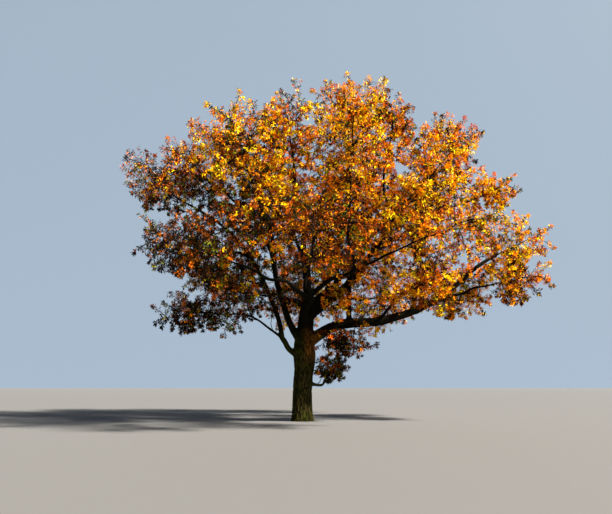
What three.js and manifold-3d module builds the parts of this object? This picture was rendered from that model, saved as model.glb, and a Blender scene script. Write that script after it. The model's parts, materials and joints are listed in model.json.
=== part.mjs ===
// A broad oak in autumn leaf, standing alone: a short trunk, the boughs that fork from it, and the masses
// of foliage that the boughs carry. Lengths are millimetres, +Z is up, and the origin is the middle of the
// flat cut under the trunk, at ground level. The tree is seen from -Y, with +X on the right.
import * as THREE from "three";
import { mergeVertices } from "three/addons/utils/BufferGeometryUtils.js";
import Module from "manifold-3d";

const wasm = await Module();
wasm.setup();

// The trunk: its girth, its taper, and where it ends in the upper fork.
const TRUNK_RADIUS = 425;
const TRUNK_HEIGHT = 5350;
const TRUNK_LEAN = [300, 40]; // how far the upper fork stands off the foot, in X and Y
const TRUNK_TOP_RADIUS = 305;
const TRUNK_TILT = 2.4; // its upper end leans this much more than its whole does
const TRUNK_TAPER = 2.2; // the power by which it narrows: little at first, and more under the fork
const TRUNK_CROOK = 0.006;
const BELOW = 40; // it is made this much longer at the foot, and cut flat at ground level
const FLARE = 0.16; // the foot is this share wider than the trunk
const FLARE_HEIGHT = 300;
const ROOT_RIDGES = 6;
const ROOT_RIDGE = 0.08; // how far the ridges of the root flare stand out, as a share of the radius
const FORK_SWELL = 0.25; // the trunk swells by this share under its lowest big fork
const FORK_SWELL_HEIGHT = 2900;
const FORK_SWELL_SPAN = 650;

// How boughs taper, swell at the foot and wander.
const TIP_SHARE = 0.27; // a bough's radius at its end, beside that at its foot
const LEAST_TIP = 42;
const COLLAR = 0.28; // the collar at a bough's foot is this share thicker
const COLLAR_LENGTH = 420;
const HANDLE = 0.36; // how long a limb keeps its way at a knot, as a share of the arc there
const CROOK = 0.025; // how far a bough wanders off its arc, as a share of its length
const BOUGH_TAPER = 0.85; // the power by which it narrows: nearly evenly
const HEAVY = 120; // boughs with a thicker foot than this get more facets
const ENTRY = 0.74; // a bough ends this far out in its mass, as a share of the mass's reach
const JOINT_GAP = 0.35; // clear space between a limb and what carries it
const INFLATION = 1.15; // the radius grows by this much more, so that the gap holds at a limb's flats too
const SAMPLE_STEP = 90; // foliage is tested against points this far apart on the limbs
const RIDGE_ROOM = 1.12; // and this share of room is left round them for the bark's ridges

// How a mass of foliage is built up on its stem.
const CROWN_MIDDLE = [1400, 0, 8000]; // stems and their masses look away from here
const TWIGS = 6; // the stem's own end is the first of them, and the last would point back
const LARGE = 100; // a mass whose box holds more cubic metres than this has one twig more
const TWIG_REACH = 0.62; // a twig ends this far out in its mass
const TWIG_RADIUS = 26;
const TWIG_TIP_RADIUS = 20;
const STEM_RADIUS = 40;
const STEM_TIP_RADIUS = 28;
const FORWARD = 0.22; // a twig leaves the stem this share of the stem before the point beside its tip
const WANDER = 0.3; // how far a twig strays from its even direction
const SPRAYS = 3; // sprays of leaves at a twig's end
const SPRAY_OPEN = 0.85; // radians between a spray and the way out of the mass
const SPRAY_MOST = 0.62; // the longest spray, as a share of the mass's reach there
const SPRAY_WIDTH = 0.66; // of its length
const SPRAY_WIDEST = 0.58; // how far along it the widest place lies
const SPRAY_THICKNESS = 0.035; // of its length
const SPRAY_SUNK = 45; // its root lies this far back in the twig's end
const SPRAY_STAGGER = 70; // and the roots of a twig's sprays are this far apart
const SPRAY_FITS = [0.97, 0.8, 0.62]; // the shares of the free length that are tried in turn
const CLEARANCE = 6; // between foliage and a limb, and between two masses' spaces
const GOLDEN = Math.PI * (3 - Math.sqrt(5));

const BARK = { color: 0x3d3226, roughness: 0.95, metalness: 0 };
const TINTS = { gold: 0xdaa00d, amber: 0xc17e0d, rust: 0x90590d, russet: 0x65420d };

// Each bough, with the mass of foliage at its end.
//   from, at     the limb that carries it, and how far along that limb it leaves
//   foot         its radius where it leaves
//   rise, lift   its slope in degrees where it leaves, and where it enters its mass
//   by, climb    a point that it bends through on the way, and its slope there
//   mass, size   the middle and the full width, depth and height of its mass
const BOUGHS = [
  // the left side: one limb that forks low, with flat shelves of leaves under it, and a steeper one inside it
  { name: "left_far", from: "trunk", at: 0.446, foot: 130, rise: 61, lift: 26,
    by: [-910, -150, 3500], climb: 92.5,
    mass: [-6380, -500, 10790], size: [4050, 6400, 3240], tint: "rust" },
  { name: "left_edge", from: "left_far", at: 0.56, foot: 75, rise: 28, lift: 8,
    mass: [-5770, 700, 7660], size: [3750, 6800, 2350], tint: "russet" },
  { name: "left_shelf", from: "left_far", at: 0.4, foot: 65, rise: 14, lift: 4,
    mass: [-3710, -1000, 6410], size: [3790, 4600, 1840], tint: "russet" },
  { name: "left_low", from: "left_far", at: 0.153, foot: 55, rise: 45, lift: 8,
    by: [-2480, -200, 4490], climb: 31,
    mass: [-4980, -300, 4610], size: [3750, 4600, 1920], tint: "russet" },
  { name: "left_shoulder", from: "trunk", at: 0.591, foot: 165, rise: 52, lift: 68,
    mass: [-2720, -400, 12680], size: [3590, 6400, 3030], tint: "russet" },
  { name: "left_crest", from: "left_shoulder", at: 0.5, foot: 90, rise: 52, lift: 30,
    mass: [-5420, 1900, 12380], size: [3930, 5600, 3600], tint: "rust" },
  { name: "front_mid_left", from: "left_shoulder", at: 0.34, foot: 90, rise: 45, lift: 22,
    mass: [-2150, -4500, 10400], size: [5100, 5600, 4400], tint: "gold" },

  // the middle: two leaders, one nearly upright and one that bends right before it climbs
  { name: "top_left", from: "trunk", at: 0.95, foot: 185, rise: 84, lift: 80,
    mass: [-720, 900, 14350], size: [3480, 6400, 3200], tint: "amber" },
  { name: "back_mid_left", from: "top_left", at: 0.2, foot: 105, rise: 45, lift: 25,
    mass: [-1600, 4700, 11600], size: [5200, 5800, 5200], tint: "amber" },
  { name: "top", from: "trunk", at: 0.9, foot: 190, rise: 48, lift: 84,
    by: [1700, 60, 6500], climb: 74,
    mass: [2350, 700, 14750], size: [5060, 7200, 4010], tint: "amber" },

  // the right side: a steep limb, and one long heavy limb that lies low and almost level
  { name: "right_crest", from: "trunk", at: 0.82, foot: 190, rise: 38, lift: 62,
    mass: [6980, 500, 12820], size: [3430, 6400, 3450], tint: "amber" },
  { name: "top_right", from: "right_crest", at: 0.55, foot: 92, rise: 74, lift: 66,
    mass: [4520, 1400, 14550], size: [3020, 6200, 3110], tint: "amber" },
  { name: "right_arm", from: "right_crest", at: 0.45, foot: 86, rise: 38, lift: 20,
    mass: [8850, -200, 10350], size: [2700, 5400, 1850], tint: "gold" },
  { name: "front_mid_right", from: "right_crest", at: 0.27, foot: 100, rise: 38, lift: 20,
    mass: [4900, -4100, 9500], size: [4500, 5200, 4100], tint: "gold" },
  { name: "right_edge", from: "trunk", at: 0.6, foot: 255, rise: 38, lift: 27,
    by: [4300, -60, 4600], climb: 2,
    mass: [10120, 600, 8050], size: [3800, 6000, 2900], tint: "gold" },
  { name: "right_tip", from: "right_edge", at: 0.62, foot: 90, rise: 16, lift: 8,
    mass: [9120, -1400, 5980], size: [3130, 4800, 2440], tint: "amber" },
  { name: "right_low", from: "right_edge", at: 0.47, foot: 96, rise: 4, lift: 16,
    mass: [7350, 1500, 5750], size: [3800, 4200, 2600], tint: "gold" },
  { name: "right_skirt", from: "right_edge", at: 0.34, foot: 80, rise: 26, lift: 10,
    mass: [4850, -1900, 5900], size: [3800, 3600, 2700], tint: "amber" },
  { name: "under_limb", from: "right_edge", at: 0.16, foot: 46, rise: -16, lift: -14,
    mass: [1600, -700, 3200], size: [3900, 2300, 1250], tint: "russet" },

  // the front: one limb towards the viewer that fans out low, and one that climbs from the heavy limb
  { name: "front_low", from: "trunk", at: 0.7, foot: 165, rise: 46, lift: 16,
    mass: [450, -7100, 6600], size: [5200, 4100, 3900], tint: "rust" },
  { name: "front_low_left", from: "front_low", at: 0.36, foot: 95, rise: 26, lift: 10,
    mass: [-3900, -5200, 6500], size: [4900, 4400, 3800], tint: "russet" },
  { name: "front_low_right", from: "front_low", at: 0.44, foot: 98, rise: 24, lift: 12,
    mass: [4800, -6000, 6800], size: [5000, 4200, 3900], tint: "amber" },
  { name: "front_mid", from: "right_edge", at: 0.22, foot: 112, rise: 84, lift: 40,
    by: [2050, -1500, 6900], climb: 62,
    mass: [1900, -4700, 10500], size: [5200, 5800, 4400], tint: "gold" },

  // the back: two limbs, which close the crown behind
  { name: "back_low", from: "trunk", at: 0.77, foot: 160, rise: 46, lift: 16,
    mass: [-300, 6900, 6400], size: [5200, 4600, 4600], tint: "amber" },
  { name: "back_low_left", from: "back_low", at: 0.34, foot: 95, rise: 26, lift: 10,
    mass: [-4100, 4800, 6600], size: [4800, 4900, 4600], tint: "rust" },
  { name: "back_low_right", from: "trunk", at: 0.86, foot: 165, rise: 40, lift: 12,
    mass: [4800, 6000, 6400], size: [5100, 4800, 4500], tint: "amber" },
  { name: "back_mid_right", from: "back_low_right", at: 0.42, foot: 102, rise: 44, lift: 26,
    mass: [6700, 4400, 10500], size: [4900, 5400, 4800], tint: "gold" },
  { name: "back_mid", from: "back_low_right", at: 0.28, foot: 102, rise: 64, lift: 45,
    mass: [3000, 5000, 11800], size: [5200, 6000, 5400], tint: "amber" },

  // a low branch near the foot, whose leaves hang beside the trunk
  { name: "low_branch", from: "trunk", at: 0.32, foot: 84, rise: -20, lift: 40,
    by: [850, 0, 1480], climb: 0,
    mass: [1240, 100, 2250], size: [1700, 1800, 1400], tint: "russet" },
];

const UP = new THREE.Vector3(0, 0, 1);
const vector = (values) => new THREE.Vector3(...values);
const mix = (a, b, share) => a.clone().lerp(b, share);
const beyond = (point, way, length) => point.clone().addScaledVector(way, length);

// A small seeded generator, so that the tree grows the same way each time.
function seeded(seed) {
  let state = (seed * 2654435761 + 12345) >>> 0;
  return () => {
    state = (Math.imul(state, 1664525) + 1013904223) >>> 0;
    return state / 4294967296;
  };
}

// The middle line of a limb: an arc from each knot to the next, a knot being a point and the way on from it,
// with a seeded crook in the whole.
class LimbLine extends THREE.Curve {
  constructor(knots, crook, random) {
    super();
    this.arcs = knots.slice(1).map(([end, endWay], i) => {
      const [start, startWay] = knots[i];
      const handle = HANDLE * start.distanceTo(end);
      const [leaving, entering] = [beyond(start, startWay, handle), beyond(end, endWay, -handle)];
      return new THREE.CubicBezierCurve3(start, leaving, entering, end);
    });
    const across = knots.at(-1)[0].clone().sub(knots[0][0]);
    this.crook = crook * across.length();
    this.side = sideways(across.normalize());
    this.over = across.cross(this.side);
    this.phases = [random(), random(), random(), random()];
  }
  getPoint(t, target = new THREE.Vector3()) {
    const held = Math.sin(Math.PI * t) ** 2;
    const wave = (turns, phase) => Math.sin(2 * Math.PI * (turns * t + phase));
    const [a, b, c, d] = this.phases;
    const arc = Math.min(this.arcs.length - 1, Math.floor(t * this.arcs.length));
    this.arcs[arc].getPoint(t * this.arcs.length - arc, target);
    target.addScaledVector(this.side, this.crook * held * (wave(1.3, a) + 0.5 * wave(2.9, b)));
    return target.addScaledVector(this.over, this.crook * held * (wave(1.1, c) + 0.5 * wave(2.3, d)));
  }
}

// A level direction square to another, or +X where that one is upright.
function sideways(along) {
  const side = new THREE.Vector3().crossVectors(UP, along);
  return side.lengthSq() < 1e-6 ? new THREE.Vector3(1, 0, 0) : side.normalize();
}

// A closed round body along a line: a cylinder whose rings are moved onto it, its ends moved out by `past`.
function limbGeometry(line, radiusAt, sides, rings, past = 0) {
  const geometry = new THREE.CylinderGeometry(1, 1, 1, sides, rings);
  const frames = line.computeFrenetFrames(rings);
  const place = geometry.getAttribute("position");
  for (let i = 0; i < place.count; i++) {
    const ring = Math.round((place.getY(i) + 0.5) * rings);
    const share = ring / rings;
    const across = new THREE.Vector2(place.getX(i), place.getZ(i));
    const radius = radiusAt(share, across.angle());
    const point = line
      .getPointAt(share)
      .addScaledVector(frames.normals[ring], across.x * radius)
      .addScaledVector(frames.binormals[ring], -across.y * radius)
      .addScaledVector(frames.tangents[ring], ring === rings ? past : ring === 0 ? -past : 0);
    place.setXYZ(i, point.x, point.y, point.z);
  }
  return geometry;
}

function solidOf(geometry) {
  const bare = geometry.clone();
  bare.deleteAttribute("normal");
  bare.deleteAttribute("uv");
  const merged = mergeVertices(bare);
  return new wasm.Manifold(
    new wasm.Mesh({
      numProp: 3,
      vertProperties: new Float32Array(merged.getAttribute("position").array),
      triVerts: new Uint32Array(merged.index.array),
    }),
  );
}

function geometryOf(solid) {
  const mesh = solid.getMesh();
  return new THREE.BufferGeometry()
    .setAttribute("position", new THREE.BufferAttribute(mesh.vertProperties, 3))
    .setIndex(new THREE.BufferAttribute(mesh.triVerts, 1));
}

// The largest piece of a solid: a cut can leave scraps, which a tree doesn't have.
function mainPiece(solid) {
  return solid.decompose().reduce((a, b) => (b.volume() > a.volume() ? b : a));
}

// The trunk narrows to its upper fork, with a ridged flare at the foot and a swelling under the first fork.
function trunkRadius(share, angle) {
  const height = share * TRUNK_HEIGHT;
  const taper = TRUNK_RADIUS + (TRUNK_TOP_RADIUS - TRUNK_RADIUS) * share ** TRUNK_TAPER;
  const foot = Math.exp(-height / FLARE_HEIGHT);
  const ridges = Math.cos(ROOT_RIDGES * angle + 0.6) + 0.5 * Math.cos(2 * angle + 1.4);
  const swell = FORK_SWELL * Math.exp(-(((height - FORK_SWELL_HEIGHT) / FORK_SWELL_SPAN) ** 2));
  return taper * (1 + swell + foot * (FLARE + ROOT_RIDGE * ridges));
}

function makeTrunk() {
  const top = new THREE.Vector3(...TRUNK_LEAN, TRUNK_HEIGHT);
  const topWay = mix(UP, top.clone().normalize(), TRUNK_TILT).normalize();
  const knots = [[new THREE.Vector3(0, 0, -BELOW), UP], [top, topWay]];
  const line = new LimbLine(knots, TRUNK_CROOK, seeded(5));
  return { name: "trunk", line, radiusAt: trunkRadius, sides: 16, rings: 10, length: line.getLength() };
}

// A bough: one tapering limb from inside the limb that carries it to the edge of its mass.
function makeBough(plan, parent, index) {
  const foot = parent.line.getPointAt(plan.at);
  const middle = vector(plan.mass);
  const way = middle.clone().sub(foot).normalize();
  const level = new THREE.Vector3(way.x, way.y, 0).normalize();
  const slope = (degrees) => {
    const angle = THREE.MathUtils.degToRad(degrees);
    return level.clone().multiplyScalar(Math.cos(angle)).addScaledVector(UP, Math.sin(angle));
  };
  const from = plan.by ? middle.clone().sub(vector(plan.by)).normalize() : way;
  const tip = beyond(middle, from, -ellipsoidReach(plan.size, from) * ENTRY);
  const bend = plan.by ? [[vector(plan.by), slope(plan.climb)]] : [];
  const knots = [[foot, slope(plan.rise)], ...bend, [tip, slope(plan.lift)]];
  const line = new LimbLine(knots, CROOK, seeded(index + 11));
  const length = line.getLength();
  const tipRadius = Math.max(LEAST_TIP, plan.foot * TIP_SHARE);
  const radiusAt = (share) =>
    tipRadius +
    (plan.foot - tipRadius) * (1 - share) ** BOUGH_TAPER +
    plan.foot * COLLAR * Math.exp((-share * length) / COLLAR_LENGTH);
  const [sides, rings] = plan.foot > HEAVY ? [8, 7] : [6, 4];
  return { name: plan.name + "_bough", line, radiusAt, length, sides, rings };
}

// How far an ellipsoid of that full size reaches from its middle along a direction.
function ellipsoidReach(size, way) {
  const [a, b, c] = size.map((full) => full / 2);
  return 1 / Math.hypot(way.x / a, way.y / b, way.z / c);
}

// The middle of a limb's solid there: the straight stretch between two of its rings.
function middleOf({ line, rings }, share) {
  const ring = Math.min(rings - 1, Math.floor(share * rings));
  return mix(line.getPointAt(ring / rings), line.getPointAt((ring + 1) / rings), share * rings - ring);
}

// Cuts each limb clear of the ground and of those before it, so that it sits on what carries it.
function cutLimbs(limbs) {
  const wide = 4 * TRUNK_RADIUS;
  const ground = new THREE.BoxGeometry(wide, wide, 4 * BELOW).translate(0, 0, -2 * BELOW);
  const grown = [solidOf(ground)];
  return limbs.map((limb) => {
    const solid = grown.reduce((left, other) => left.subtract(other), limbSolid(limb));
    grown.push(limbSolid(limb, JOINT_GAP));
    return mainPiece(solid);
  });
}

function limbSolid({ line, radiusAt, sides, rings }, proud = 0) {
  const wider = (share, angle) => radiusAt(share, angle) + proud * INFLATION;
  return solidOf(limbGeometry(line, wider, sides, rings, proud));
}

// The space of each mass: its ellipsoid, cut by a plane towards each neighbour.
function makeSpaces() {
  const spaces = BOUGHS.map((plan) => ({ middle: vector(plan.mass), size: plan.size, planes: [] }));
  spaces.forEach((a, i) =>
    spaces.slice(i + 1).forEach((b) => {
      const way = b.middle.clone().sub(a.middle);
      const gap = way.length();
      way.normalize();
      const [ra, rb] = [ellipsoidReach(a.size, way), ellipsoidReach(b.size, way)];
      const wall = beyond(a.middle, way, (gap * ra) / (ra + rb));
      a.planes.push(new THREE.Plane().setFromNormalAndCoplanarPoint(way, wall));
      b.planes.push(new THREE.Plane().setFromNormalAndCoplanarPoint(way.clone().negate(), wall));
    }),
  );
  return spaces;
}

// How far one can go from a point inside a space before leaving it.
function reachOf(space, from, way) {
  const half = vector(space.size).multiplyScalar(0.5);
  const [start, step] = [from.clone().sub(space.middle).divide(half), way.clone().divide(half)];
  const [a, b, c] = [step.lengthSq(), start.dot(step), start.lengthSq() - 1];
  if (c > 0) return 0;
  const walls = space.planes
    .filter((plane) => plane.normal.dot(way) > 0)
    .map((plane) => (-CLEARANCE - plane.distanceToPoint(from)) / plane.normal.dot(way));
  return Math.max(0, Math.min((Math.sqrt(b * b - a * c) - b) / a, ...walls));
}

function inSpace(space, point) {
  const from = point.clone().sub(space.middle).divide(vector(space.size).multiplyScalar(0.5));
  return from.length() <= 1 && space.planes.every((plane) => plane.distanceToPoint(point) <= -CLEARANCE);
}

// Points along a limb, each with the radius there, against which foliage is tested.
function samplesOf(limb) {
  const count = Math.ceil(limb.length / SAMPLE_STEP);
  return Array.from({ length: count + 1 }, (_, i) => {
    const point = limb.line.getPointAt(i / count);
    const radius = Math.hypot(limb.radiusAt(i / count, 0) * RIDGE_ROOM, SAMPLE_STEP / 2);
    return { name: limb.name, point, radius };
  });
}

// True if all the points, each with that much round it, are clear of every limb but their own stem.
function clearOfLimbs(points, around, samples, own) {
  return samples.every(
    (s) => s.name === own || points.every((p) => p.distanceTo(s.point) > s.radius + around + CLEARANCE),
  );
}

// Directions spread evenly over a sphere, the first of them near the pole.
function evenDirections(count, pole, turn) {
  const side = sideways(pole);
  const over = new THREE.Vector3().crossVectors(pole, side);
  return Array.from({ length: count }, (_, i) => {
    const along = 1 - (2 * i + 1) / count;
    const level = Math.sqrt(1 - along * along);
    return side
      .clone()
      .multiplyScalar(level * Math.cos(i * GOLDEN + turn))
      .addScaledVector(over, level * Math.sin(i * GOLDEN + turn))
      .addScaledVector(pole, along);
  });
}

// The stem of a mass: on from its bough's tip, through the middle of its space and out towards the sky.
function makeStem(plan, bough, space, index) {
  const tipWay = bough.line.getTangentAt(1);
  const foot = beyond(bough.line.getPointAt(1), tipWay, JOINT_GAP);
  const outward = mix(space.middle.clone().sub(foot).normalize(), outwardOf(space), 0.5).normalize();
  const reach = TWIG_REACH * reachOf(space, space.middle, outward);
  const end = beyond(space.middle, outward, reach);
  const line = new LimbLine([[foot, tipWay], [end, outward]], CROOK, seeded(index + 51));
  const radiusAt = (share) => STEM_RADIUS + (STEM_TIP_RADIUS - STEM_RADIUS) * share;
  const name = plan.name + "_leaves";
  return { name, line, radiusAt, length: line.getLength(), outward, sides: 3, rings: 2 };
}

function outwardOf(space) {
  return space.middle.clone().sub(vector(CROWN_MIDDLE)).normalize();
}

// A mass of foliage: its stem, twigs off the stem, and sprays of leaves at the ends of them all.
function growMass(space, stem, samples, index) {
  const random = seeded(index + 101);
  const solids = [limbSolid(stem), ...growSprays(space, samples, stem.name, stem, stem.outward)];
  const [wide, deep, high] = space.size.map((full) => full / 1000);
  const twigs = wide * deep * high > LARGE ? TWIGS + 1 : TWIGS;
  for (const even of evenDirections(twigs, stem.outward, 2 * Math.PI * random()).slice(1, -1)) {
    const stray = new THREE.Vector3(random() - 0.5, random() - 0.5, random() - 0.5);
    const outward = even.addScaledVector(stray, 2 * WANDER).normalize();
    const reach = TWIG_REACH * (0.92 + 0.16 * random()) * reachOf(space, space.middle, outward);
    const tip = beyond(space.middle, outward, reach);
    const twig = makeTwig(stem, tip, random);
    const points = twig.line.getPoints(8).slice(3);
    if (!points.every((p) => inSpace(space, p))) continue;
    if (!clearOfLimbs(points, TWIG_RADIUS, samples, stem.name)) continue;
    const sprays = growSprays(space, samples, stem.name, twig, outward);
    if (sprays.length) solids.push(limbSolid(twig), ...sprays);
  }
  return mainPiece(wasm.Manifold.union(solids));
}

// A twig leaves its stem leaning forward and ends at the tip it is given.
function makeTwig(stem, tip, random) {
  const [foot, end] = [stem.line.getPointAt(0), stem.line.getPointAt(1)];
  const axis = end.sub(foot);
  const beside = tip.clone().sub(foot).dot(axis) / axis.lengthSq();
  const at = THREE.MathUtils.clamp(beside - FORWARD, 0.12, 0.92);
  const root = middleOf(stem, at);
  const way = tip.clone().sub(root).normalize();
  const footWay = mix(way, stem.line.getTangentAt(at), 0.35).normalize();
  const line = new LimbLine([[root, footWay], [tip, way]], CROOK, random);
  const radiusAt = (share) => TWIG_RADIUS + (TWIG_TIP_RADIUS - TWIG_RADIUS) * share;
  return { line, radiusAt, length: line.getLength(), sides: 3, rings: 1 };
}

// The sprays at a twig's end stand round it, one from each of its three sides, as long as the space allows.
function growSprays(space, samples, own, twig, outward) {
  const frames = twig.line.computeFrenetFrames(twig.rings);
  const [normal, binormal] = [frames.normals[twig.rings], frames.binormals[twig.rings]];
  const most = SPRAY_MOST * ellipsoidReach(space.size, outward);
  const sprays = [];
  for (let k = 0; k < SPRAYS; k++) {
    const angle = ((2 * k + 1) * Math.PI) / SPRAYS;
    const spread = normal.clone().multiplyScalar(Math.sin(angle)).addScaledVector(binormal, -Math.cos(angle));
    const along = outward
      .clone()
      .multiplyScalar(Math.cos(SPRAY_OPEN))
      .addScaledVector(spread, Math.sin(SPRAY_OPEN))
      .normalize();
    const across = new THREE.Vector3().crossVectors(along, outward).normalize();
    const root = middleOf(twig, 1 - (SPRAY_SUNK + k * SPRAY_STAGGER) / twig.length);
    const free = Math.min(most, reachOf(space, root, along));
    for (const share of SPRAY_FITS) {
      const corners = sprayCorners(root, along, across, free * share);
      const inside = [corners.left, corners.right].every((p) => inSpace(space, p));
      if (inside && clearOfLimbs(bladePoints(corners), SPRAY_THICKNESS * free * share, samples, own)) {
        sprays.push(solidOf(sprayGeometry(corners)));
        break;
      }
    }
  }
  return sprays;
}

// One spray of leaves: a flat pointed blade of eight faces, widest past its middle.
function sprayCorners(root, along, across, length) {
  const normal = new THREE.Vector3().crossVectors(along, across);
  const widest = beyond(root, along, SPRAY_WIDEST * length);
  const [half, thick] = [(SPRAY_WIDTH / 2) * length, (SPRAY_THICKNESS / 2) * length];
  return {
    root,
    tip: beyond(root, along, length),
    left: beyond(widest, across, half),
    right: beyond(widest, across, -half),
    over: beyond(widest, normal, thick),
    under: beyond(widest, normal, -thick),
  };
}

function sprayGeometry(corners) {
  const geometry = new THREE.OctahedronGeometry(1, 0);
  const place = geometry.getAttribute("position");
  for (let i = 0; i < place.count; i++) {
    const [x, y, z] = [place.getX(i), place.getY(i), place.getZ(i)].map(Math.round);
    const corner = x ? (x > 0 ? "tip" : "root") : y ? (y > 0 ? "left" : "right") : z > 0 ? "over" : "under";
    place.setXYZ(i, ...corners[corner]);
  }
  return geometry;
}

// Points over a blade, close enough together that no limb slips between them.
function bladePoints({ root, tip, left, right }) {
  const points = [];
  for (let i = 1; i <= 6; i++)
    for (let j = -2; j <= 2; j++) {
      const along = i / 6;
      const wide = along < SPRAY_WIDEST ? along / SPRAY_WIDEST : (1 - along) / (1 - SPRAY_WIDEST);
      points.push(mix(root, tip, along).addScaledVector(left.clone().sub(right), (wide * j) / 4));
    }
  return points;
}

function addMesh(group, name, solid, look) {
  const mesh = new THREE.Mesh(geometryOf(solid), new THREE.MeshStandardMaterial(look));
  mesh.name = name;
  group.add(mesh);
}

const trunk = makeTrunk();
const limbs = { trunk };
BOUGHS.forEach((plan, index) => {
  limbs[plan.name] = makeBough(plan, limbs[plan.from], index);
});
const solids = cutLimbs(Object.values(limbs));

const spaces = makeSpaces();
const stems = BOUGHS.map((plan, index) => makeStem(plan, limbs[plan.name], spaces[index], index));
const samples = [...Object.values(limbs), ...stems].flatMap(samplesOf);

const tree = new THREE.Group();
tree.name = "oak_tree";
Object.values(limbs).forEach((limb, index) => addMesh(tree, limb.name, solids[index], BARK));
BOUGHS.forEach((plan, index) => {
  const mass = growMass(spaces[index], stems[index], samples, index);
  addMesh(tree, stems[index].name, mass, { color: TINTS[plan.tint], roughness: 0.8, metalness: 0 });
});

export default tree;
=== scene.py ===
import json
import math
from collections import namedtuple

import bmesh
import bpy
import numpy as np
from mathutils import Matrix, Vector, noise

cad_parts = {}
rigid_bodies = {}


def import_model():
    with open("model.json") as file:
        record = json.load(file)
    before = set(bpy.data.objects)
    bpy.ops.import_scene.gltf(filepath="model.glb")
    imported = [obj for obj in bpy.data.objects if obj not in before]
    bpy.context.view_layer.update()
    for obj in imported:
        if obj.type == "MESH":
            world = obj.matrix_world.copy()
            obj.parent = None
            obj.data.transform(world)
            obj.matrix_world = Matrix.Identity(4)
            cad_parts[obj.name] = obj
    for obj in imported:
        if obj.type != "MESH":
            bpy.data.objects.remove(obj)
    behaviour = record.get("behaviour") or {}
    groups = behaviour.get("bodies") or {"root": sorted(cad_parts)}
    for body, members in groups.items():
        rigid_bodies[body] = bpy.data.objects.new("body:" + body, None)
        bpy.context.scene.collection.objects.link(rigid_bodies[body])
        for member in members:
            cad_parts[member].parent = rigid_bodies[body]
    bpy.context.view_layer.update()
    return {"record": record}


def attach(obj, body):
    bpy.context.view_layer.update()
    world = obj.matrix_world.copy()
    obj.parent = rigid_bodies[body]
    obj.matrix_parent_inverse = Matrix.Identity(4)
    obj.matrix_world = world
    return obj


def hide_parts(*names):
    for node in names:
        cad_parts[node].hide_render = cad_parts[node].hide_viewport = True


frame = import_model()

# The trunk: one short stem of solid wood, which flares into ridges at the roots and stands on a flat
# cut at ground level. It swells under its first fork and leans a little to the right above it.
TRUNK_RADIUS = 0.425
TRUNK_HEIGHT = 5.35
TRUNK_LEAN = (0.3, 0.04)  # how far the upper fork stands off the foot, in X and Y
TRUNK_TOP_RADIUS = 0.305
TRUNK_TILT = 2.4  # its upper end leans this much more than its whole does
TRUNK_TAPER = 2.2  # the power by which it narrows
TRUNK_CROOK = 0.006
TRUNK_RINGS = 10
TRUNK_SEED = 5
BELOW = 0.04  # it starts this far down, and is cut at ground level
FLARE = 0.16
FLARE_HEIGHT = 0.3
ROOT_RIDGES = 6
ROOT_RIDGE = 0.08
ROOT_TURN = 0.6
ROOT_OVAL = 0.5
ROOT_OVAL_TURN = 1.4
FORK_SWELL = 0.25
FORK_SWELL_HEIGHT = 2.9
FORK_SWELL_SPAN = 0.65
HANDLE = 0.36  # how long a limb keeps its way at a knot, as a share of the arc there
CROOK_WAVES = (1.3, 2.9, 1.1, 2.3)  # the turns of a long and a short wave to the side, then above
SHORT_WAVE = 0.5
LINE_STEPS = 200
TANGENT_STEP = 1e-4
LEAST_TURN = 1e-12
TINY = 1e-6
UP = np.array([0.0, 0.0, 1.0])
WORD = 2**32
SEED_FACTOR, SEED_STEP, DRAW_FACTOR, DRAW_STEP = 2654435761, 12345, 1664525, 1013904223


def unit(way):
    return way / np.linalg.norm(way)


def units(ways, least=0.0):
    return ways / np.maximum(np.linalg.norm(ways, axis=-1), least)[..., None]


def turned(first, second, angle):
    """The way at that angle from the first of two ways, towards the second."""
    return first * math.cos(angle) + second * math.sin(angle)


def sideways(along):
    """A level way square to another, or +X where that one is upright."""
    side = np.cross(UP, along)
    return unit(side) if side @ side > TINY else np.array([1.0, 0.0, 0.0])


def seeded(seed):
    """Draws from 0 to 1 that are the same each time."""
    state = (seed * SEED_FACTOR + SEED_STEP) % WORD

    def draw():
        nonlocal state
        state = (state * DRAW_FACTOR + DRAW_STEP) % WORD
        return state / WORD

    return draw


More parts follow.
